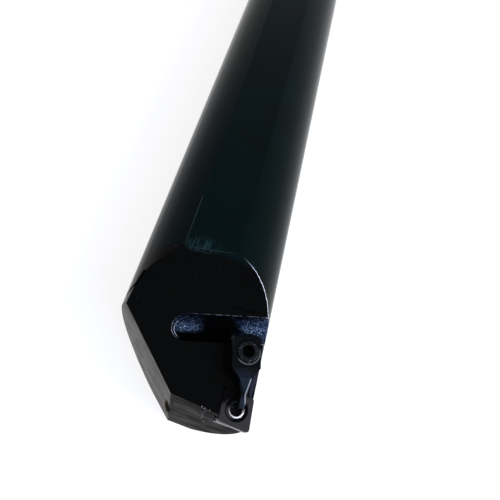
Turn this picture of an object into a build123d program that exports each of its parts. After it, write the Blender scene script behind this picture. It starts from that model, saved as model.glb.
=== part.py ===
from build123d import *
from math import cos, radians, sin, tan
import os

os.makedirs("parts", exist_ok=True)

# Frame: origin at the centre of the shank's rear end, +Y out of that end along the bar,
# +X to the side that the insert cuts on, +Z up out of the flat that the head is cut from.
# All sizes are millimetres and degrees.

# Bar
bar_length = 500.0
shank_diameter = 63.0
flats_across = 59.0
rear_chamfer = 2.0
head_behind_nose = 36.0
head_taper = 0.3

# Rhombic insert with its shim and shim screw
inscribed_circle = 12.7
point_angle = 80.0
insert_thickness = 4.76
insert_hole = 5.16
insert_nose_radius = 1.2
insert_edge_land = 0.25
insert_ring_outer = 9.3
insert_ring_inner = 6.4
insert_ring_depth = 0.3
shim_thickness = 3.18
shim_inset = 0.2
shim_screw_diameter = 4.0
shim_screw_head = 7.0
shim_screw_length = 10.0
shim_screw_key = 2.5
shim_screw_key_depth = 1.4
shim_screw_clearance = 0.1

# How the insert is presented to the work
nose_overhang = 0.9
lead_angle = 5.0
side_rake = 8.0
axial_rake = 12.5
insert_proud = 0.5
pocket_wall_gap = 0.03
pocket_foot_relief = 1.6

# Head of the bar: distances behind the insert's nose are measured on the bar's centre line,
# and those inside the nose are measured from its reach towards the inner side
flat_end_behind_nose = 57.3
ramp_lean = 41.0
ramp_skew = 8.0
front_face_behind_nose = 4.9
bevel_start_inside_nose = 32.8
bevel_angle = 44.3
slot_width = 11.0
slot_angle = 15.6
slot_end_inside_nose = 35.0
slot_end_behind_nose = 30.1

# Hook clamp, measured from its screw: forward towards the insert, out to the cutting side
clamp_inside_nose = 9.3
clamp_behind_nose = 27.1
clamp_angle = 13.0
clamp_height = 9.2
clamp_floor_gap = 1.2
clamp_insert_gap = 0.05
clamp_inner_half = 6.3
clamp_outer_half = 5.1
clamp_shoulder = 6.2
clamp_back_top = 5.7
clamp_back_foot = 8.2
clamp_back_step = 4.0
clamp_outer_back_radius = 4.5
clamp_inner_back_radius = 1.0
nose_root = 9.6
nose_root_half = 2.4
nose_root_height = 6.0
nose_apex = 16.0
nose_apex_height = 4.8
nose_ridge_offset = 0.1
nose_tip = 20.5
nose_half = 1.1
nose_tip_height = 1.9
nose_foot_start = 14.0
hook_depth = 2.0
hook_length = 2.6
hook_clearance = 0.15
heel_gap = 0.3
heel_front = 4.9

# Clamp screw with its spring
clamp_screw_diameter = 5.0
clamp_screw_length = 20.0
clamp_screw_head = 8.5
clamp_screw_head_height = 5.0
clamp_screw_head_edge = 0.4
clamp_screw_head_gap = 0.02
clamp_screw_key = 4.0
clamp_screw_key_depth = 2.6
clamp_screw_tip_chamfer = 0.6
counterbore_diameter = 9.2
counterbore_depth = 4.4
clamp_hole_clearance = 0.1
thread_clearance = 0.05
tapped_hole_spare = 2.0
spring_wire = 0.6
spring_inside = 5.2
spring_turns = 5.0
spring_steps_per_turn = 24
spring_wire_sides = 8
spring_bore_clearance = 0.2
spring_bore_depth = 6.0
spring_seat_gap = 0.05

# Sizes that follow from those above
cut_reach = 3 * shank_diameter
nose_reach = shank_diameter / 2 + nose_overhang
clamp_x = nose_reach - clamp_inside_nose
slot_end_x = nose_reach - slot_end_inside_nose
bevel_start = nose_reach - bevel_start_inside_nose
half_point = radians(point_angle / 2)
insert_edge = inscribed_circle / sin(2 * half_point)
insert_half_length = insert_edge * cos(half_point)
bisector = radians(lead_angle + point_angle / 2)
seat_depth = insert_thickness + shim_thickness
slot_radius = slot_width / 2
spring_outside = spring_inside + 2 * spring_wire


def behind_nose(distance):
    """Y of a place this far behind the insert's nose."""
    return distance - bar_length


# The insert's top and the chip floor beside it are parallel: they rise to the back and the inner side
rake_normal = Vector(tan(radians(side_rake)), -tan(radians(axial_rake)), 1).normalized()


def along_rake(x, y):
    """Unit vector in the raked plane that points along (x, y) seen from above."""
    return Vector(x, y, -(rake_normal.X * x + rake_normal.Y * y) / rake_normal.Z).normalized()


# The sharp corner that the insert's nose is rounded from, just outside its reach and the bar's length
corner_past_reach = insert_nose_radius * (sin(bisector) / sin(half_point) - 1)
corner_past_length = insert_nose_radius * (cos(bisector) / sin(half_point) - 1)
nose_corner = Vector(nose_reach + corner_past_reach, behind_nose(-corner_past_length), 0)

# Insert frame: origin at the sharp nose, x along the bisector to the far corner, z out of the top face
insert_top = Plane(origin=nose_corner, x_dir=along_rake(-sin(bisector), cos(bisector)), z_dir=rake_normal)
insert_bottom = insert_top.offset(-insert_thickness)
shim_bottom = insert_top.offset(-seat_depth)
chip_floor = insert_top.offset(-insert_proud)


def on_chip_floor(x, y):
    """Point of the chip floor at this X and Y."""
    start = chip_floor.origin
    drop = (rake_normal.X * (x - start.X) + rake_normal.Y * (y - start.Y)) / rake_normal.Z
    return Vector(x, y, start.Z - drop)


# Slot frame: x along the slot to the cutting side. Clamp frame: x forward to the insert, y out to that side
slot_frame = Plane(
    origin=on_chip_floor(slot_end_x, behind_nose(slot_end_behind_nose)),
    x_dir=along_rake(cos(radians(slot_angle)), sin(radians(slot_angle))),
    z_dir=rake_normal,
)
clamp_frame = Plane(
    origin=on_chip_floor(clamp_x, behind_nose(clamp_behind_nose)),
    x_dir=along_rake(sin(radians(clamp_angle)), -cos(radians(clamp_angle))),
    z_dir=rake_normal,
)


def beyond(plane):
    """Everything on the side of a plane that its normal points to."""
    return plane * Box(cut_reach, cut_reach, cut_reach, align=(Align.CENTER, Align.CENTER, Align.MIN))


def rod(frame, diameter, top, bottom):
    """Cylinder on a frame's z axis between two heights."""
    spot = frame * Pos(0, 0, bottom)
    return spot * Cylinder(diameter / 2, top - bottom, align=(Align.CENTER, Align.CENTER, Align.MIN))


def rhombus(edge):
    """Rhombus whose sharp corner is at the origin and whose far corner is on +x."""
    half_length = edge * cos(half_point)
    half_width = edge * sin(half_point)
    return make_face(Polyline((0, 0), (half_length, half_width), (2 * half_length, 0),
                              (half_length, -half_width), close=True))


def centred_on_insert(plane):
    """The same plane with its origin moved to the insert's centre."""
    return plane * Pos(insert_half_length, 0, 0)


def hex_socket(across_flats, depth):
    """Hexagonal recess that opens upwards at z = 0."""
    return Pos(0, 0, -depth) * extrude(RegularPolygon(across_flats / 2, 6, major_radius=False), depth)


def slot_tool(radius):
    """Round-bottomed, ball-ended form that runs out of the bar's side."""
    run = Rot(0, 90, 0) * Cylinder(radius, shank_diameter, align=(Align.CENTER, Align.CENTER, Align.MIN))
    return slot_frame * (run + Sphere(radius))


def spring_bore_diameter():
    return spring_outside + 2 * spring_bore_clearance


def screw_tip_height():
    """Height of the clamp screw's tip in the clamp frame."""
    return clamp_height - counterbore_depth - clamp_screw_length


def make_bar_body():
    end = Plane(origin=(0, 0, 0), x_dir=(1, 0, 0), z_dir=(0, -1, 0))
    shank_length = bar_length - head_behind_nose
    body = extrude(end * Circle(shank_diameter / 2), shank_length)
    body = chamfer(body.faces().sort_by(Axis.Y)[-1].edges(), rear_chamfer)
    body += extrude(end.offset(shank_length) * Circle(shank_diameter / 2), head_behind_nose, taper=head_taper)
    body &= extrude(end * Rectangle(shank_diameter, flats_across), bar_length)

    # Chip floor and the ramp that rises from it to the top flat
    across = Vector(cos(radians(ramp_skew)), sin(radians(ramp_skew)), 0)
    down = Vector(0, -sin(radians(ramp_lean)), -cos(radians(ramp_lean)))
    ramp = Plane(origin=(0, behind_nose(flat_end_behind_nose), flats_across / 2),
                 x_dir=across, z_dir=down.cross(across))
    body -= beyond(chip_floor) & beyond(ramp)

    # Front face, parallel to the insert's front edge, and the bevel on the inner side
    front_turn = radians(lead_angle)
    front_y = behind_nose(front_face_behind_nose)
    body -= beyond(Plane(origin=(0, front_y, 0), x_dir=(0, 0, 1),
                         z_dir=(-sin(front_turn), -cos(front_turn), 0)))
    bevel_turn = radians(bevel_angle)
    bevel_y = front_y - bevel_start * tan(front_turn)
    body -= beyond(Plane(origin=(bevel_start, bevel_y, 0), x_dir=(0, 0, 1),
                         z_dir=(-sin(bevel_turn), -cos(bevel_turn), 0)))

    # Slot behind the clamp
    body -= slot_tool(slot_radius)

    # Insert pocket: two walls that meet at the far corner, each with a round relief along its foot
    far_corner = 2 * insert_half_length + pocket_wall_gap / sin(half_point)
    pocket_edge = shank_diameter
    shift = far_corner - 2 * pocket_edge * cos(half_point)
    body -= shim_bottom * Pos(shift, 0, 0) * extrude(rhombus(pocket_edge), cut_reach)
    corner = shim_bottom * Pos(far_corner, 0, 0)
    for side in (1, -1):
        turn = side * (180 - point_angle / 2)
        foot = Cylinder(pocket_foot_relief / 2, pocket_edge, align=(Align.CENTER, Align.CENTER, Align.MIN))
        body -= corner * Rot(0, 0, turn) * Rot(0, 90, 0) * foot

    # Holes for the shim screw, the clamp screw and its spring
    shim_hole = shim_screw_diameter + 2 * thread_clearance
    shim_hole_bottom = shim_thickness - shim_screw_length - tapped_hole_spare
    body -= rod(centred_on_insert(shim_bottom), shim_hole, 0, shim_hole_bottom)
    clamp_thread = clamp_screw_diameter + 2 * thread_clearance
    body -= rod(clamp_frame, clamp_thread, 0, screw_tip_height() - tapped_hole_spare)
    body -= rod(clamp_frame, spring_bore_diameter(), 0, -spring_bore_depth)
    return body


def insert_bore():
    """Half of the insert's hole, flared where it meets the face, with the ring sunk round it."""
    face = insert_thickness / 2
    flare = (insert_ring_inner - insert_hole) / 2
    hole = make_face(Plane.XZ * Polyline(
        (0, 0), (insert_hole / 2, 0), (insert_hole / 2, face - flare), (insert_ring_inner / 2, face),
        (0, face), close=True))
    ring_width = (insert_ring_outer - insert_ring_inner) / 2
    ring = Plane.XZ * Pos(insert_ring_inner / 2, face) * Rectangle(
        ring_width, insert_ring_depth, align=(Align.MIN, Align.MAX))
    return revolve(hole, Axis.Z) + revolve(ring, Axis.Z)


def make_cutting_insert():
    plate = extrude(rhombus(insert_edge), -insert_thickness)
    plate = fillet(plate.edges().filter_by(Axis.Z), insert_nose_radius)
    rims = plate.faces().filter_by(Axis.Z).edges()
    plate = chamfer(rims, insert_edge_land)
    middle = Pos(insert_half_length, 0, -insert_thickness / 2)
    for turn in (0, 180):
        plate -= middle * Rot(turn, 0, 0) * insert_bore()
    return insert_top * plate


def make_shim():
    shim_edge = insert_edge - 2 * shim_inset / sin(2 * half_point)
    shift = insert_half_length - shim_edge * cos(half_point)
    plate = Pos(shift, 0, 0) * extrude(rhombus(shim_edge), -shim_thickness)
    plate = fillet(plate.edges().filter_by(Axis.Z), insert_nose_radius)
    plate = insert_bottom * plate
    centre = centred_on_insert(insert_bottom)
    hole = shim_screw_diameter + 2 * shim_screw_clearance
    plate -= rod(centre, hole, 0, -shim_thickness)
    plate -= centre * countersink(shim_screw_clearance)
    return plate


def countersink(clearance):
    """Cone of the shim screw's head, widened by a clearance, with its face at z = 0."""
    wide = shim_screw_head / 2 + clearance
    narrow = shim_screw_diameter / 2 + clearance
    return Cone(narrow, wide, wide - narrow, align=(Align.CENTER, Align.CENTER, Align.MAX))


def make_shim_screw():
    screw = countersink(0) + rod(Plane.XY, shim_screw_diameter, 0, -shim_screw_length)
    screw -= hex_socket(shim_screw_key, shim_screw_key_depth)
    return centred_on_insert(insert_bottom) * screw


def clamp_outline():
    """Outline of the clamp from above, x forward from the screw and y out to the cutting side."""
    inner_front = (clamp_shoulder, -clamp_inner_half)
    outer_front = (clamp_shoulder, clamp_outer_half)
    outline = make_face(Polyline(
        (-clamp_back_foot, -clamp_inner_half), inner_front, (nose_root, -nose_root_half),
        (nose_root, nose_root_half), outer_front, (-clamp_back_foot, clamp_outer_half), close=True))
    back = outline.vertices().group_by(Axis.X)[0].sort_by(Axis.Y)
    outline = fillet(back[0], clamp_inner_back_radius)
    back = outline.vertices().group_by(Axis.X)[0].sort_by(Axis.Y)
    return fillet(back[-1], clamp_outer_back_radius)


def make_clamp_nose():
    """Faceted finger: a flat triangle that runs out into a ridge, which falls to the tip."""
    foot = insert_proud + clamp_insert_gap
    side_view = make_face(Plane.XZ * Polyline(
        (nose_root, clamp_floor_gap), (nose_root, nose_root_height), (nose_apex, nose_apex_height),
        (nose_tip, nose_tip_height), (nose_tip, foot), (nose_foot_start, foot),
        (nose_foot_start, clamp_floor_gap), close=True))
    blank = extrude(side_view, clamp_inner_half, both=True)
    outline = make_face(Polyline(
        (nose_root, -nose_root_half), (nose_apex, -nose_half), (nose_tip, -nose_half),
        (nose_tip, nose_half), (nose_apex, nose_half), (nose_root, nose_root_half), close=True))
    nose = blank & extrude(outline, clamp_height)
    apex = Vector(nose_apex, nose_ridge_offset, nose_apex_height)
    tip = Vector(nose_tip, nose_ridge_offset, nose_tip_height)
    for side in (-1, 1):
        root = Vector(nose_root, side * nose_root_half, nose_root_height)
        ridge = tip - apex
        normal = ridge.cross(root - apex) * side
        nose -= beyond(Plane(origin=apex, x_dir=ridge, z_dir=normal))
    return nose


def make_clamp():
    # Main block: flat top, a shoulder that falls to the nose and a back that slopes into the slot
    side_view = make_face(Plane.XZ * Polyline(
        (-clamp_back_foot, 0), (-clamp_back_foot, clamp_back_step), (-clamp_back_top, clamp_height),
        (clamp_shoulder, clamp_height), (nose_root, nose_root_height), (nose_root, clamp_floor_gap),
        (-heel_front, clamp_floor_gap), (-heel_front, 0), close=True))
    block = extrude(side_view, clamp_inner_half, both=True)
    block &= extrude(clamp_outline(), clamp_height)
    clamp = clamp_frame * (block + make_clamp_nose())

    # Round heel that stands in the slot, and the hook that drops into the insert's hole
    heel = Pos(-heel_front, 0, 0) * Box(
        clamp_back_foot, 2 * clamp_back_foot, slot_width, align=(Align.MAX, Align.CENTER, Align.MAX))
    heel &= extrude(clamp_outline(), -slot_width)
    clamp += (clamp_frame * heel) & slot_tool(slot_radius - heel_gap)
    hook = Pos(nose_tip, 0, insert_proud - hook_depth) * Box(
        hook_length, 2 * nose_half, hook_depth + clamp_insert_gap,
        align=(Align.MAX, Align.CENTER, Align.MIN))
    hole = rod(centred_on_insert(insert_top), insert_hole - 2 * hook_clearance, clamp_height, -insert_thickness)
    clamp += (clamp_frame * hook) & hole

    # Counterbore and hole for the screw
    head_seat = clamp_height - counterbore_depth
    clamp -= rod(clamp_frame, counterbore_diameter, clamp_height, head_seat)
    clamp -= rod(clamp_frame, clamp_screw_diameter + 2 * clamp_hole_clearance, head_seat, 0)
    return clamp


def make_clamp_screw():
    under_head = clamp_height - counterbore_depth + clamp_screw_head_gap
    head_top = under_head + clamp_screw_head_height
    head = rod(Plane.XY, clamp_screw_head, head_top, under_head)
    head = chamfer(head.faces().sort_by(Axis.Z)[-1].edges(), clamp_screw_head_edge)
    shank = rod(Plane.XY, clamp_screw_diameter, under_head, screw_tip_height())
    shank = chamfer(shank.faces().sort_by(Axis.Z)[0].edges(), clamp_screw_tip_chamfer)
    screw = head + shank - Pos(0, 0, head_top) * hex_socket(clamp_screw_key, clamp_screw_key_depth)
    return clamp_frame * screw


def make_clamp_spring():
    """Open-ended compression spring between the bottom of its bore and the clamp's underside."""
    height = spring_bore_depth + clamp_floor_gap - spring_wire - 2 * spring_seat_gap
    mean_radius = (spring_inside + spring_wire) / 2
    steps = round(spring_turns * spring_steps_per_turn)
    points = []
    for step in range(steps + 1):
        angle = 360 * step / spring_steps_per_turn
        points.append(Vector(mean_radius, 0, height * step / steps).rotate(Axis.Z, angle))
    path = Polyline(*points)
    section = Plane(origin=path @ 0, z_dir=path % 0) * RegularPolygon(spring_wire / 2, spring_wire_sides)
    coil = sweep(section, path, transition=Transition.RIGHT)
    return clamp_frame * Pos(0, 0, spring_wire / 2 + spring_seat_gap - spring_bore_depth) * coil


nodes = {
    "bar_body": make_bar_body(),
    "cutting_insert": make_cutting_insert(),
    "shim": make_shim(),
    "shim_screw": make_shim_screw(),
    "hook_clamp": make_clamp(),
    "clamp_screw": make_clamp_screw(),
    "clamp_spring": make_clamp_spring(),
}
for name, shape in nodes.items():
    export_step(shape, f"parts/{name}.step")
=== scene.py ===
import math

import bpy
from mathutils import Matrix, Vector


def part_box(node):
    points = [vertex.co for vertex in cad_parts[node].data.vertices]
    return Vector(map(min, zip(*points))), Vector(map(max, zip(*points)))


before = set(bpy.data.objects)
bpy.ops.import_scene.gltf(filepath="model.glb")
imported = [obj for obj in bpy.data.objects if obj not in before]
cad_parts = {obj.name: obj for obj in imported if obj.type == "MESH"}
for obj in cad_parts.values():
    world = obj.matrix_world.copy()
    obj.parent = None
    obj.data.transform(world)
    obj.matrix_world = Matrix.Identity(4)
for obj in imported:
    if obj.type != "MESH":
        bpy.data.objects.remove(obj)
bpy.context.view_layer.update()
MM = 0.001

# Where the head's features lie, in metres
head = Vector((0.012, -0.470, 0.010))
floor_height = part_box("bar_body")[0][2]
rake_normal = Vector((0.135936, -0.214431, 0.967234))
slot_end = Vector((-0.0026, -0.4699, 0.01112))
slot_turn = math.radians(15.6)
slot_radius = 5.5 * MM
insert_centre = Vector((0.02543, -0.49284, 0.00015))
screw_axis = Vector((0.0231, -0.4729, 0.006842))

# Y at which the front face gives way to the bevel, and the head to the ground shank
FRONT_EDGE = (-0.4952, -0.4940)
HEAD_END = (-0.4440, -0.4425)

# Specular levels: an oiled black oxide reflects far less than bare steel
BAR_LEVEL = 0.022
INSERT_LEVEL = 0.06
RING_LEVEL = 0.02
CLAMP_LEVEL = 0.06
SCREW_LEVEL = 0.06
SOCKET_LEVEL = 0.01

# The floor looks white from its own glow and from its paper, which keeps the shadow
FLOOR_GLOW = 0.79
FLOOR_PAPER = 0.62


def direction(azimuth, elevation):
    """Unit vector for an azimuth, from +Y towards +X, and a height above the horizon, in degrees."""
    a = math.radians(azimuth)
    e = math.radians(elevation)
    return Vector((math.sin(a) * math.cos(e), math.cos(a) * math.cos(e), math.sin(e)))


def make_camera():
    """The photo's viewpoint: close to the head, looking down along the bar. Angles are in radians."""
    azimuth, elevation, roll = 0.048, 0.907, -0.226
    focal_pixels, frame_pixels = 523.03, 500.0
    centre = (235.14, 217.34)
    back = Vector((math.sin(azimuth) * math.cos(elevation), -math.cos(azimuth) * math.cos(elevation),
                   math.sin(elevation)))
    ahead = -back
    right = ahead.cross(Vector((0, 0, 1))).normalized()
    down = ahead.cross(right)
    across = right * math.cos(roll) + down * math.sin(roll)
    below = down * math.cos(roll) - right * math.sin(roll)
    data = bpy.data.cameras.new("camera")
    data.sensor_width = 36.0
    data.lens = data.sensor_width * focal_pixels / frame_pixels
    data.shift_x = 0.5 - centre[0] / frame_pixels
    data.shift_y = centre[1] / frame_pixels - 0.5
    data.clip_start = 0.01
    camera = bpy.data.objects.new("camera", data)
    axes = Matrix((across, -below, back)).transposed().to_4x4()
    camera.matrix_world = Matrix.Translation((0.011751, -0.561943, 0.207025)) @ axes
    bpy.context.scene.collection.objects.link(camera)
    bpy.context.scene.camera = camera


class Graph:
    """A material's or world's node tree, with short calls for the nodes used here."""

    def __init__(self, tree):
        self.tree = tree
        tree.nodes.clear()

    def node(self, kind, inputs=(), **settings):
        made = self.tree.nodes.new("ShaderNode" + kind)
        for key, value in settings.items():
            setattr(made, key, value)
        for key, value in dict(inputs).items():
            self.feed(made.inputs[key], value)
        return made

    def feed(self, socket, value):
        if isinstance(value, bpy.types.NodeSocket):
            self.tree.links.new(value, socket)
        elif isinstance(value, bpy.types.Node):
            self.tree.links.new(value.outputs[0], socket)
        else:
            socket.default_value = value

    def math(self, operation, *values, clamp=False):
        return self.node("Math", dict(enumerate(values)), operation=operation, use_clamp=clamp).outputs[0]

    def vector(self, operation, *values, out=0):
        made = self.node("VectorMath", dict(enumerate(values)), operation=operation)
        return made.outputs[out]

    def scaled(self, vector, factor):
        return self.node("VectorMath", {0: vector, "Scale": factor}, operation="SCALE").outputs[0]

    def face_normal(self):
        return self.node("NewGeometry").outputs["Normal"]

    def background_rays(self):
        """1 for rays from the camera, off gloss and through glass, which all show the background."""
        rays = self.node("LightPath").outputs
        seen = self.math("MAXIMUM", rays["Is Camera Ray"], rays["Is Transmission Ray"])
        return self.math("MAXIMUM", seen, rays["Is Glossy Ray"])

    def position(self):
        return self.node("TexCoord").outputs["Object"]

    def noise(self, where, scale, detail, rough, stretch=(1, 1, 1)):
        """Noise in 0 to 1. scale is in features for each metre."""
        mapped = self.vector("MULTIPLY", where, Vector(stretch))
        inputs = {"Vector": mapped, "Scale": scale, "Detail": detail, "Roughness": rough}
        return self.node("TexNoise", inputs).outputs["Fac"]

    def ramp(self, value, low, high, to_low=0.0, to_high=1.0):
        """value from low to high becomes to_low to to_high by a smooth step, and stays there outside."""
        made = self.node("MapRange", {"Value": value, "From Min": low, "From Max": high, "To Min": to_low,
                                      "To Max": to_high}, clamp=True)
        made.interpolation_type = "SMOOTHSTEP"
        return made.outputs[0]

    def mix(self, factor, first, second):
        made = self.node("Mix", data_type="RGBA")
        self.feed(made.inputs[0], factor)
        self.feed(made.inputs[6], self.colour(first))
        self.feed(made.inputs[7], self.colour(second))
        return made.outputs[2]

    def colour(self, value):
        if isinstance(value, (tuple, list)) and len(value) == 3:
            return (*value, 1.0)
        return value

    def spot(self, where, centre, radii, soft=0.4):
        """1 inside an ellipsoid given in millimetres, 0 outside."""
        offset = self.vector("SUBTRACT", where, Vector(centre) * MM)
        scaled = self.vector("DIVIDE", offset, Vector(radii) * MM)
        return self.ramp(self.vector("LENGTH", scaled, out=1), 1.0 - soft, 1.0, 1.0, 0.0)

    def line(self, where, start, end, width):
        """1 within half the width of a straight line between two points, all in millimetres."""
        start = Vector(start) * MM
        span = Vector(end) * MM - start
        offset = self.vector("SUBTRACT", where, start)
        share = self.vector("DOT_PRODUCT", offset, span / span.length_squared, out=1)
        share = self.math("ADD", share, 0.0, clamp=True)
        nearest = self.scaled(span, share)
        distance = self.vector("LENGTH", self.vector("SUBTRACT", offset, nearest), out=1)
        return self.ramp(distance, width * 0.3 * MM, width * 0.6 * MM, 1.0, 0.0)

    def specks(self, where, scale, share, stretch=(1, 1, 1)):
        """Sparse fine spots: 1 on about this share of the surface."""
        return self.ramp(self.noise(where, scale, 1.0, 0.4, stretch), 0.72 - share, 0.77 - share)

    def band(self, value, low, high):
        """1 between low and high, fading to 0 over the outer quarters."""
        fade = (high - low) / 4
        return self.math("MULTIPLY", self.ramp(value, low, low + fade),
                         self.ramp(value, high - fade, high, 1.0, 0.0))

    def rounded(self, radius):
        """Normal that is rounded over the edges, for the highlights that they catch."""
        return self.node("Bevel", {"Radius": radius * MM}, samples=6).outputs[0]

    def edge(self, rounded):
        """1 close to an edge, from how far the rounded normal turns from the face's own."""
        turn = self.vector("DOT_PRODUCT", rounded, self.face_normal(), out=1)
        return self.ramp(turn, 0.93, 0.995, 1.0, 0.0)

    def bump(self, height, distance, normal=None):
        made = self.node("Bump", {"Height": height, "Distance": distance, "Strength": 1.0})
        if normal is not None:
            self.feed(made.inputs["Normal"], normal)
        return made.outputs[0]


def new_material(name):
    material = bpy.data.materials.new(name)
    material.use_nodes = True
    return material, Graph(material.node_tree)


def principled(graph, colour, roughness, metallic=0.0, normal=None, tint=(1, 1, 1), level=0.5):
    shader = graph.node("BsdfPrincipled", {"Metallic": metallic, "Specular Tint": (*tint, 1)})
    shader.inputs["Specular IOR Level"].default_value = level
    graph.feed(shader.inputs["Base Color"], graph.colour(colour))
    graph.feed(shader.inputs["Roughness"], roughness)
    if normal is not None:
        graph.feed(shader.inputs["Normal"], normal)
    graph.feed(graph.node("OutputMaterial").inputs["Surface"], shader.outputs[0])
    return shader


def slot_place(g, where):
    """Distance from the slot's centre line, distance along it, and offset towards the clamp."""
    offset = g.vector("SUBTRACT", where, slot_end)
    along = Vector((math.cos(slot_turn), math.sin(slot_turn), 0))
    along.z = -(rake_normal.x * along.x + rake_normal.y * along.y) / rake_normal.z
    along.normalize()
    run = g.vector("DOT_PRODUCT", offset, along, out=1)
    side = g.vector("DOT_PRODUCT", offset, along.cross(rake_normal), out=1)
    held = g.math("MAXIMUM", run, 0.0)
    nearest = g.scaled(along, held)
    distance = g.vector("LENGTH", g.vector("SUBTRACT", offset, nearest), out=1)
    return distance, run, side


# White flecks on the front face: place and width in millimetres
FLECKS = [
    ((12.5, -496.2, 3.3), 0.35),
    ((13.6, -496.3, 2.5), 0.50),
    ((14.6, -496.4, 2.0), 0.30),
    ((15.7, -496.5, 2.4), 0.35),
    ((14.1, -496.3, -0.5), 0.30),
    ((13.1, -496.3, -2.7), 0.28),
    ((13.5, -496.3, -5.2), 0.45),
    ((14.0, -496.3, -7.2), 0.25),
    ((13.4, -496.3, -9.2), 0.50),
    ((14.3, -496.4, -11.4), 0.25),
    ((14.7, -496.4, -13.2), 0.38),
    ((15.3, -496.4, -16.4), 0.25),
]


def slot_finish(g, p, tone, rough, normal):
    """Blue and sparkling with cutter marks at both of the slot's ends; between them and along the lower
    wall a painted shadow of the clamp, near black and matt, and painted highlights at the left end.
    """
    distance, run, side = slot_place(g, p)
    in_slot = g.ramp(distance, slot_radius * 1.004, slot_radius * 1.012, 1.0, 0.0)
    # Painted shade: the lower wall and the slot's middle, in the clamp's shadow, lose their cutter marks
    lit = g.ramp(side, -1 * MM, 2 * MM, 1.0, 0.0)
    left = g.math("MULTIPLY", g.ramp(run, 1.5 * MM, 10 * MM, 1.0, 0.0), lit)
    right = g.ramp(g.math("SUBTRACT", run, side), 24 * MM, 28.5 * MM)
    lit_marks = g.math("MULTIPLY", in_slot, g.math("MAXIMUM", left, right))
    # Painted highlight: the glitter grows denser towards the slot's lower edge
    gleam = g.math("MULTIPLY", g.band(side, -3.0 * MM, 1.0 * MM), 0.05)
    sparkle = g.ramp(g.math("ADD", g.noise(p, 2300, 1, 0.5), gleam), 0.545, 0.69)
    # Painted shadow: the slot is near black and matt wherever it has no cutter marks
    tone = g.mix(in_slot, tone, (0.0015, 0.0018, 0.0022))
    glitter = g.mix(sparkle, (0.005, 0.013, 0.040), (0.16, 0.22, 0.33))
    tone = g.mix(lit_marks, tone, glitter)
    rough = g.math("MAXIMUM", rough, g.math("MULTIPLY", lit_marks, 0.22))
    normal = g.bump(g.math("MULTIPLY", g.noise(p, 1500, 2, 0.6), lit_marks), 0.7 * MM, normal)
    dull = g.math("SUBTRACT", in_slot, lit_marks, clamp=True)
    # Painted highlight: two bright arcs round the slot's left end
    around = g.math("SQRT", g.math("ADD", g.math("MULTIPLY", run, run), g.math("MULTIPLY", side, side)))
    arcs = g.math("MAXIMUM", g.band(around, 4.9 * MM, 5.35 * MM), g.band(around, 3.7 * MM, 4.1 * MM))
    arcs = g.math("MULTIPLY", arcs, g.ramp(run, -3.4 * MM, -1.5 * MM, 1.0, 0.0))
    tone = g.mix(g.math("MULTIPLY", arcs, in_slot), tone, (0.62, 0.67, 0.80))
    lip = g.band(distance, slot_radius, slot_radius * 1.07)
    lip = g.math("MULTIPLY", lip, g.ramp(run, 0.0, 6 * MM))
    lip = g.math("MULTIPLY", lip, g.ramp(side, -5 * MM, -4 * MM, 1.0, 0.0))
    lip = g.math("MULTIPLY", lip, g.ramp(g.noise(p, 900, 2, 0.6), 0.40, 0.60))
    tone = g.mix(lip, tone, (0.13, 0.16, 0.21))
    return tone, rough, normal, lit_marks, dull


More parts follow.
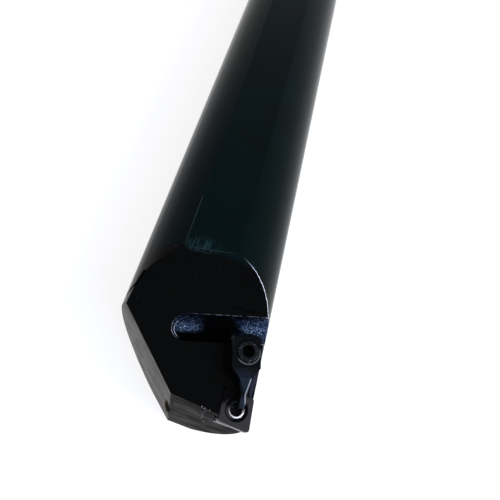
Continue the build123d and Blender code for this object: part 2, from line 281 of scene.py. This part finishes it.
def marks_and_painted_light(g, p, tone, rough, dull):
    """A nick beside the flat, flecks on the front face, a bruise at the foot of the bevel, and others,
    among them painted shade and painted highlights.
    """
    nick = g.spot(p, (-15.0, -444.05, 27.7), (0.55, 0.22, 0.6), 0.8)
    tone = g.mix(nick, tone, (0.20, 0.18, 0.15))
    flecks = 0.0
    for centre, size in FLECKS:
        flecks = g.math("MAXIMUM", flecks, g.spot(p, centre, (size, 0.6, size * 1.6), 0.7))
    tone = g.mix(flecks, tone, (0.46, 0.45, 0.44))
    # Painted shadow: a near-black, matt notch where the front face meets the seat beside the insert
    notch_shadow = g.spot(p, (18.65, -496.75, -2.4), (0.55, 1.2, 1.9), 0.5)
    tone = g.mix(notch_shadow, tone, (0.0004, 0.0004, 0.0005))
    dull = g.math("MAXIMUM", dull, notch_shadow)
    # Painted highlight: a light line along the seat's front edge below the insert
    land_highlight = g.line(p, (18.9, -496.8, -8.1), (24.2, -497.3, -8.0), 1.3)
    tone = g.mix(land_highlight, tone, (0.60, 0.57, 0.58))
    bruise = g.spot(p, (-1.4, -494.0, -14.9), (2.8, 3.0, 9.5), 0.6)
    tone = g.mix(bruise, tone, (0.012, 0.013, 0.009))
    dull = g.math("MAXIMUM", dull, g.math("MULTIPLY", bruise, 0.85))
    scuff = g.line(p, (-2.8, -492.7, -23.5), (-0.3, -495.0, -24.5), 1.6)
    tone = g.mix(scuff, tone, (0.16, 0.16, 0.155))
    seam = g.line(p, (0.5, -495.2, -1.0), (1.4, -495.3, -19.0), 0.9)
    dull = g.math("MAXIMUM", dull, g.math("MULTIPLY", seam, 0.35))
    # Painted shade: a matt dark line across the ramp's left rim
    rim_shade_line = g.line(p, (-25.2, -454.6, 19.0), (-26.9, -459.7, 16.4), 1.8)
    rim_shade_line = g.math("MAXIMUM", rim_shade_line, g.line(p, (-26.9, -459.7, 16.4), (-29.4, -462.3, 11.3), 2.0))
    dull = g.math("MAXIMUM", dull, rim_shade_line)
    # Painted highlight: a light strip on a small shelf at the left rim
    shelf_highlight = g.line(p, (-28.4, -463.2, 13.4), (-28.5, -467.0, 12.7), 2.2)
    tone = g.mix(shelf_highlight, tone, (0.17, 0.175, 0.18))
    verge = g.line(p, (31.6, -480.5, 4.2), (31.1, -487.0, 2.7), 1.4)
    tone = g.mix(verge, tone, (0.001, 0.001, 0.002))
    dull = g.math("MAXIMUM", dull, verge)
    dust = g.math("MULTIPLY", g.specks(p, 900, -0.005), 0.5)
    tone = g.mix(dust, tone, (0.02, 0.022, 0.028))
    # A paler lavender-grey, rougher strip on the chip floor beside the clamp's nose
    pale_strip = g.spot(p, (30.6, -483.5, 3.9), (1.9, 7.5, 2.5), 0.3)
    tone = g.mix(g.math("SUBTRACT", pale_strip, verge, clamp=True), tone, (0.034, 0.036, 0.058))
    rough = g.math("MAXIMUM", rough, g.math("MULTIPLY", pale_strip, 0.4))
    return tone, rough, dull


def upright_faces(g, place, p, tone, dull):
    """Streaks and clouds on the head's upright faces, and a warm brown painted on the bevel as a
    reflection.
    """
    facing = g.node("SeparateXYZ", {0: g.face_normal()}).outputs["Z"]
    upright = g.ramp(g.math("ABSOLUTE", facing), 0.05, 0.15, 1.0, 0.0)
    upright = g.math("MULTIPLY", upright, g.ramp(place["Y"], -0.470, -0.464, 1.0, 0.0))
    streak = g.ramp(g.noise(p, 330, 3, 0.7, (0.08, 0.08, 1.0)), 0.38, 0.62, 0.0, 0.24)
    streak = g.math("MULTIPLY", streak, g.ramp(place["Y"], *FRONT_EDGE, 1.0, 0.35))
    cloud = g.ramp(g.noise(p, 95, 3, 0.6), 0.38, 0.62, 0.0, 0.22)
    dull = g.math("MAXIMUM", dull, g.math("MULTIPLY", g.math("ADD", streak, cloud), upright))
    behind = g.ramp(place["Y"], *FRONT_EDGE)
    bevel = g.math("MULTIPLY", upright, behind)
    bevel = g.math("MULTIPLY", bevel, g.ramp(place["X"], 0.0, 2 * MM, 1.0, 0.0))
    # Painted reflection: a warm brown on the bevel
    tone = g.mix(g.math("MULTIPLY", bevel, 0.8), tone, (0.024, 0.015, 0.002))
    brown_reflection = g.ramp(g.noise(p, 130, 2, 0.6), 0.40, 0.60)
    tone = g.mix(g.math("MULTIPLY", brown_reflection, bevel), tone, (0.038, 0.026, 0.006))
    return tone, dull


def black_oxide_bar():
    """Blued steel: glossy, faintly blotched and scratched, with a rough milled slot, and painted
    highlights on its rims, partly as rubbed bare steel.
    """
    material, g = new_material("bar_black_oxide")
    p = g.position()
    place = g.node("SeparateXYZ", {0: p}).outputs
    blotch = g.noise(p, 45, 3, 0.6)
    patchy = g.ramp(blotch, 0.35, 0.65)
    tone = g.mix(patchy, (0.0026, 0.0026, 0.0028), (0.0026, 0.0032, 0.0032))
    shank = g.mix(patchy, (0.0015, 0.0085, 0.0105), (0.0015, 0.0070, 0.0075))
    tone = g.mix(g.ramp(place["Y"], *HEAD_END), tone, shank)
    rough = g.ramp(blotch, 0.3, 0.7, 0.09, 0.13)
    normal = g.rounded(0.35)
    crease = g.line(p, (-27.0, -457.1, 17.4), (26.0, -456.0, 10.3), 3.0)
    normal = g.mix(crease, normal, g.face_normal())
    rim = g.edge(normal)

    # Fine scratches along the bar, where its flat meets the ramp, and a rubbed line on the flat's edge
    patch = g.spot(p, (-4.0, -443.0, 29.5), (9.5, 7.5, 2.0), 0.7)
    lines = g.specks(p, 2600, 0.20, (1.0, 0.05, 1.0))
    scratched = g.math("MULTIPLY", patch, lines)
    tone = g.mix(scratched, tone, (0.016, 0.045, 0.052))
    line = g.line(p, (-11.6, -443.0, 29.4), (-11.2, -416.0, 29.4), 0.32)
    tone = g.mix(line, tone, (0.06, 0.09, 0.10))

    tone, rough, normal, lit_marks, dull = slot_finish(g, p, tone, rough, normal)
    tone, rough, dull = marks_and_painted_light(g, p, tone, rough, dull)

    # Rims rubbed to bare steel on the cutting side as a painted highlight, and a painted light line where
    # the flat meets the ramp
    rubbed_rim_highlight = g.math("MULTIPLY", rim, g.ramp(place["X"], 12 * MM, 21 * MM))
    flattened = g.vector("MULTIPLY", p, Vector((1, 0, 1)))
    outer = g.ramp(g.vector("LENGTH", flattened, out=1), 29.8 * MM, 30.8 * MM)
    rubbed_rim_highlight = g.math("MULTIPLY", rubbed_rim_highlight, g.math("MULTIPLY", outer, g.ramp(place["Y"], -0.478, -0.473)))
    rubbed_rim_highlight = g.math("MULTIPLY", rubbed_rim_highlight, g.ramp(g.noise(p, 300, 1, 0.5), 0.3, 0.6, 0.8, 1.0))
    tone = g.mix(rubbed_rim_highlight, tone, (0.72, 0.78, 0.92))
    rough = g.math("MAXIMUM", rough, g.math("MULTIPLY", rubbed_rim_highlight, 0.3))
    crest_highlight = g.math("MULTIPLY", rim, g.spot(p, (-1.0, -442.7, 29.5), (13.0, 3.0, 1.0), 0.3))
    crest_highlight = g.math("MULTIPLY", crest_highlight, g.ramp(g.noise(p, 700, 2, 0.6), 0.35, 0.55))
    tone = g.mix(crest_highlight, tone, (0.05, 0.08, 0.09))
    metal = g.math("MAXIMUM", lit_marks, rubbed_rim_highlight)
    satin = g.noise(p, 1800, 2, 0.5)
    normal = g.bump(satin, 0.0015 * MM, normal)
    tone, dull = upright_faces(g, place, p, tone, dull)

    shader = principled(g, tone, rough, normal=normal, level=BAR_LEVEL)
    g.feed(shader.inputs["Metallic"], metal)
    shine = g.math("SUBTRACT", 1.0, dull, clamp=True)
    g.feed(shader.inputs["Specular IOR Level"], g.math("MULTIPLY", g.math("POWER", shine, 3.0), BAR_LEVEL))
    tint = g.mix(patchy, (0.80, 0.89, 0.86), (1.0, 0.97, 1.0))
    g.feed(shader.inputs["Specular Tint"], g.mix(metal, tint, (1.0, 1.0, 1.0)))
    return material


def around_hole(g, where):
    """Distance from the axis of the insert's hole, and the direction away from it."""
    offset = g.vector("SUBTRACT", where, insert_centre)
    height = g.vector("DOT_PRODUCT", offset, rake_normal, out=1)
    across = g.vector("SUBTRACT", offset, g.scaled(rake_normal, height))
    return g.vector("LENGTH", across, out=1), g.vector("NORMALIZE", across)


def carbide():
    """Dark grey coated carbide; the ring pressed round the hole is painted black as shade, and the flare
    inside it has a painted highlight.
    """
    material, g = new_material("insert_carbide")
    p = g.position()
    grain = g.noise(p, 2500, 3, 0.6)
    cloud = g.noise(p, 260, 3, 0.6)
    tone = g.mix(grain, (0.038, 0.037, 0.038), (0.060, 0.058, 0.060))
    tone = g.mix(g.ramp(cloud, 0.3, 0.7, 0.0, 0.35), tone, (0.026, 0.027, 0.032))
    radius, outward = around_hole(g, p)
    nose_side = g.vector("DOT_PRODUCT", outward, Vector((0.226, -0.974, 0.0)), out=1)
    inner_side = g.vector("DOT_PRODUCT", outward, Vector((-0.958, -0.289, 0.0)), out=1)

    # Painted shade: the ring is near black and less glossy, and narrow on the side away from the clamp,
    # where its floor catches light
    ring_shade = g.ramp(radius, 4.60 * MM, 4.68 * MM, 1.0, 0.0)
    pale = g.math("MULTIPLY", g.ramp(inner_side, 0.30, 0.75), g.ramp(nose_side, -0.40, -0.05))
    pale = g.math("MULTIPLY", pale, g.ramp(radius, 4.05 * MM, 4.25 * MM, 1.0, 0.0))
    ring_shade = g.math("SUBTRACT", ring_shade, pale, clamp=True)
    tone = g.mix(ring_shade, tone, (0.0015, 0.0018, 0.0022))

    # Painted highlight and shade: the flare is bright towards the insert's nose and dark under the clamp,
    # and the hole inside it is painted dark
    flare = g.ramp(radius, 3.17 * MM, 3.22 * MM, 1.0, 0.0)
    lit = g.ramp(nose_side, -0.55, 0.95)
    tone = g.mix(flare, tone, g.mix(lit, (0.02, 0.022, 0.026), (0.86, 0.82, 0.74)))
    hole = g.ramp(radius, 2.56 * MM, 2.62 * MM, 1.0, 0.0)
    tone = g.mix(hole, tone, (0.003, 0.004, 0.007))
    lip = g.math("SUBTRACT", flare, hole, clamp=True)
    bright = g.math("MULTIPLY", lip, lit)
    dark = g.math("SUBTRACT", g.math("MAXIMUM", ring_shade, lip), bright, clamp=True)

    # A painted shadow of the clamp's nose darkens the corner behind the hole and takes its gloss away
    nose_shadow = g.vector("DOT_PRODUCT", p, Vector((-0.5, 0.85, 0.0)), out=1)
    nose_shadow = g.math("ADD", nose_shadow, g.ramp(cloud, 0.3, 0.7, -0.4 * MM, 0.4 * MM))
    outside_nose_shadow = g.ramp(nose_shadow, -0.4303, -0.4277, 1.0, 0.05)
    tone = g.mix(g.math("MAXIMUM", outside_nose_shadow, lip), (0.002, 0.002, 0.0025), tone)
    # Painted highlight along the insert's front edge
    front_painted_light = g.line(p, (24.0, -498.4, -3.6), (28.4, -499.5, -1.5), 1.3)
    tone = g.mix(front_painted_light, tone, (0.60, 0.57, 0.58))

    # The flare's normal leans outwards, as a raised lip's would, so that the key lamp glints on its
    # painted highlight
    raised = g.vector("NORMALIZE", g.vector("ADD", g.scaled(outward, 0.21), rake_normal))
    normal = g.mix(lip, g.face_normal(), raised)
    normal = g.bump(grain, 0.006 * MM, normal)
    shader = principled(g, tone, 0.3, normal=normal, level=INSERT_LEVEL)
    g.feed(shader.inputs["Metallic"], g.math("MULTIPLY", bright, 0.25))
    level = g.math("MULTIPLY", g.ramp(dark, 0.0, 1.0, INSERT_LEVEL, RING_LEVEL), outside_nose_shadow)
    g.feed(shader.inputs["Specular IOR Level"], g.math("MAXIMUM", level, bright))
    return material


def shim_carbide():
    material, g = new_material("shim_carbide")
    grain = g.noise(g.position(), 2500, 3, 0.6)
    tone = g.mix(grain, (0.17, 0.165, 0.17), (0.25, 0.24, 0.25))
    principled(g, tone, 0.4, normal=g.bump(grain, 0.006 * MM))
    return material


# Painted highlight along the clamp's nose ridge, down to its hook, in millimetres
NOSE_EDGE = [(28.2, -483.2, 10.1), (27.5, -489.0, 7.7), (28.5, -490.9, 4.0)]


def black_oxide_clamp():
    """Blued forging with painted light: a lighter nose and hook, and painted highlights along its rounded
    left edge, nose ridge, back corner and counterbore rim.
    """
    material, g = new_material("clamp_black_oxide")
    p = g.position()
    blotch = g.noise(p, 160, 3, 0.6)
    tone = g.mix(blotch, (0.0010, 0.0015, 0.0022), (0.0020, 0.0028, 0.0038))
    # Painted light: the nose's front facets and its hook are lighter blue
    front_painted_light = g.spot(p, (26.0, -484.5, 11.0), (7.0, 4.2, 9.0), 0.5)
    tone = g.mix(front_painted_light, tone, (0.006, 0.011, 0.021))
    hook_painted_light = g.spot(p, (26.3, -492.0, 5.0), (3.2, 3.6, 6.0), 0.5)
    tone = g.mix(hook_painted_light, tone, (0.032, 0.044, 0.070))
    # Painted highlight: a light spot on the heel's back corner
    corner_highlight = g.spot(p, (17.0, -471.0, 15.4), (0.9, 0.9, 1.2))
    tone = g.mix(corner_highlight, tone, (0.12, 0.13, 0.12))
    across = g.node("SeparateXYZ", {0: p}).outputs["X"]
    # Painted highlight along the clamp's rounded left edge
    edge_highlight = g.math("MULTIPLY", g.edge(g.rounded(0.8)), g.ramp(across, 17.6 * MM, 18.6 * MM, 1.0, 0.0))
    tone = g.mix(edge_highlight, tone, (0.022, 0.027, 0.027))
    ridge_highlight = g.line(p, NOSE_EDGE[0], NOSE_EDGE[1], 0.75)
    ridge_highlight = g.math("MAXIMUM", ridge_highlight, g.line(p, NOSE_EDGE[1], NOSE_EDGE[2], 0.75))
    tone = g.mix(ridge_highlight, tone, (0.34, 0.38, 0.46))
    # Painted highlight: a light arc at the screw's counterbore rim on the nose side, which also shows low
    # on the clamp's side
    offset = g.vector("SUBTRACT", p, screw_axis)
    radius = g.vector("LENGTH", g.vector("CROSS_PRODUCT", offset, rake_normal), out=1)
    way = g.vector("DOT_PRODUCT", offset, Vector((0.62, -0.78, 0.0)), out=1)
    rim = g.math("MULTIPLY", g.band(radius, 4.5 * MM, 5.15 * MM), g.ramp(way, 2.6 * MM, 4.4 * MM))
    tone = g.mix(rim, tone, (0.13, 0.14, 0.14))
    satin = g.noise(p, 1800, 2, 0.5)
    normal = g.bump(satin, 0.002 * MM)
    rough = g.ramp(blotch, 0.3, 0.7, 0.13, 0.18)
    principled(g, tone, rough, normal=normal, tint=(0.80, 0.90, 1.0), level=CLAMP_LEVEL)
    return material


def black_oxide_screw():
    """Blued screw with a specked, slightly rubbed head, and a socket painted dark and matt as shade."""
    material, g = new_material("screw_black_oxide")
    p = g.position()
    grain = g.noise(p, 1500, 3, 0.6)
    tone = g.mix(g.ramp(grain, 0.35, 0.65), (0.002, 0.003, 0.004), (0.012, 0.015, 0.020))
    tone = g.mix(g.specks(p, 1700, 0.05), tone, (0.30, 0.31, 0.33))
    offset = g.vector("SUBTRACT", p, screw_axis)
    radius = g.vector("LENGTH", g.vector("CROSS_PRODUCT", offset, rake_normal), out=1)
    # Painted shade: the socket is darker and less glossy than the head
    socket = g.ramp(radius, 2.4 * MM, 2.6 * MM, 1.0, 0.0)
    tone = g.mix(socket, tone, (0.0008, 0.0010, 0.0014))
    normal = g.bump(grain, 0.03 * MM, g.rounded(0.25))
    shader = principled(g, tone, 0.25, normal=normal, level=SCREW_LEVEL)
    g.feed(shader.inputs["Specular IOR Level"], g.ramp(socket, 0.0, 1.0, SCREW_LEVEL, SOCKET_LEVEL))
    return material


def spring_steel():
    material, g = new_material("spring_steel")
    grain = g.noise(g.position(), 3000, 2, 0.5)
    tone = g.mix(grain, (0.28, 0.28, 0.29), (0.40, 0.40, 0.41))
    principled(g, tone, 0.3, metallic=1.0, normal=g.bump(grain, 0.004 * MM))
    return material


def make_floor():
    """Pale paper that keeps the bar's shadow and shows in its glossy finish."""
    size = 6.0
    mesh = bpy.data.meshes.new("floor")
    corners = [(-size, -size), (size, -size), (size, size), (-size, size)]
    mesh.from_pydata([(x, y, floor_height) for x, y in corners], [], [(0, 1, 2, 3)])
    floor = bpy.data.objects.new("floor", mesh)
    bpy.context.scene.collection.objects.link(floor)
    material, g = new_material("floor")
    strength = g.math("MULTIPLY", g.background_rays(), FLOOR_GLOW)
    glow = g.node("Emission", {"Color": (1, 1, 1, 1), "Strength": strength})
    paper = g.node("BsdfDiffuse", {"Color": (FLOOR_PAPER, FLOOR_PAPER, FLOOR_PAPER, 1)})
    lit = g.node("AddShader", {0: glow, 1: paper})
    g.feed(g.node("OutputMaterial").inputs["Surface"], lit.outputs[0])
    mesh.materials.append(material)


def make_world():
    """White studio, which glossy and clear surfaces show too, with a dimmer plain fill."""
    world = bpy.data.worlds.new("studio")
    world.use_nodes = True
    g = Graph(world.node_tree)
    colour = g.mix(g.background_rays(), (0.30, 0.30, 0.31), (1.0, 1.0, 1.0))
    background = g.node("Background", {"Color": colour, "Strength": 1.0})
    g.feed(g.node("OutputWorld").inputs["Surface"], background.outputs[0])
    bpy.context.scene.world = world


def make_light(name, azimuth, elevation, distance, width, height, radiance, colour):
    """Soft panel that faces the head. radiance is what a mirror would show of it."""
    data = bpy.data.lights.new(name, "AREA")
    data.shape = "RECTANGLE"
    data.size = width
    data.size_y = height
    data.energy = radiance * math.pi * width * height
    data.color = colour
    light = bpy.data.objects.new(name, data)
    way = direction(azimuth, elevation)
    light.location = head + way * distance
    light.rotation_euler = way.to_track_quat("Z", "Y").to_euler()
    bpy.context.scene.collection.objects.link(light)


make_camera()
make_floor()
make_world()
make_light("key", 133, 48, 0.6, 0.28, 0.30, 3.35, (0.53, 0.64, 1.0))
make_light("right", 102, 27, 0.9, 0.30, 0.80, 6.0, (1.0, 1.0, 1.0))

finishes = {
    "bar_body": black_oxide_bar(),
    "cutting_insert": carbide(),
    "shim": shim_carbide(),
    "shim_screw": black_oxide_screw(),
    "hook_clamp": black_oxide_clamp(),
    "clamp_screw": black_oxide_screw(),
    "clamp_spring": spring_steel(),
}
for name, material in finishes.items():
    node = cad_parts[name]
    for slot in node.material_slots:
        slot.material = material

scene = bpy.context.scene
scene.view_settings.view_transform = "Standard"
